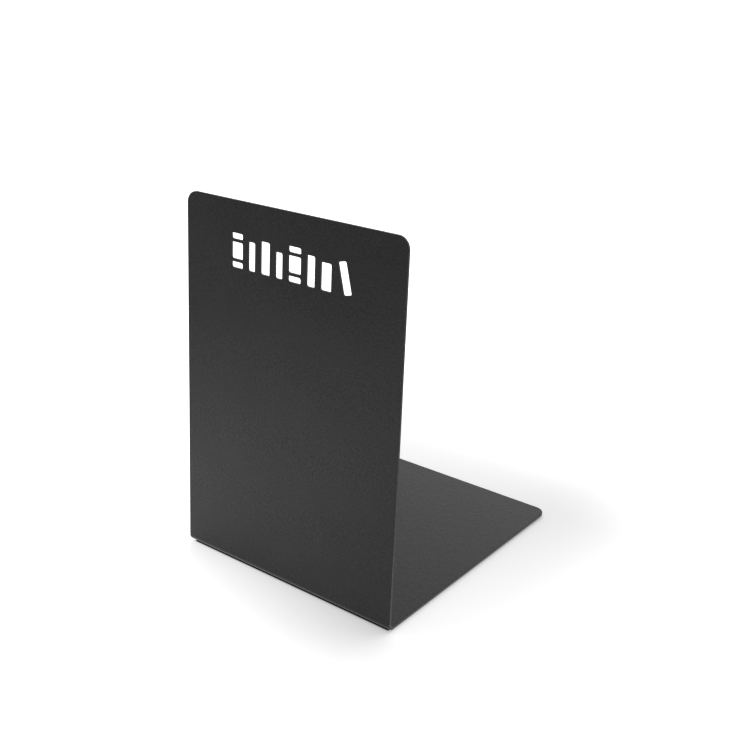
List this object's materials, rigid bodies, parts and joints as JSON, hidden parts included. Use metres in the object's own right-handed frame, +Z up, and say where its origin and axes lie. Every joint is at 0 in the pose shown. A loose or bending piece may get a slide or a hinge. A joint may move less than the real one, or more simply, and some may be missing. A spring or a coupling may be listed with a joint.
{
  "type": "bookend",
  "caption": "L-shaped bookend folded from black powder-coated sheet steel, its upright pierced with a row of book spines, standing on thin non-slip pads.",
  "frame": {"origin": "on the standing surface, under the middle of the bounding box", "axes": "+Z up, +Y from the upright towards the end of the base that goes under the books, +X across the sheet, to the right when the upright's outer face is seen"},
  "size_m": [0.12, 0.1365, 0.1733],
  "materials": {
    "powder_coat": "matte black powder coat with a fine grain",
    "rubber": "matte"
  },
  "bodies": {
    "root": {"folded_sheet": "powder_coat", "pad_front_left": "rubber", "pad_front_right": "rubber", "pad_back_left": "rubber", "pad_back_right": "rubber"}
  },
  "joints": []
}
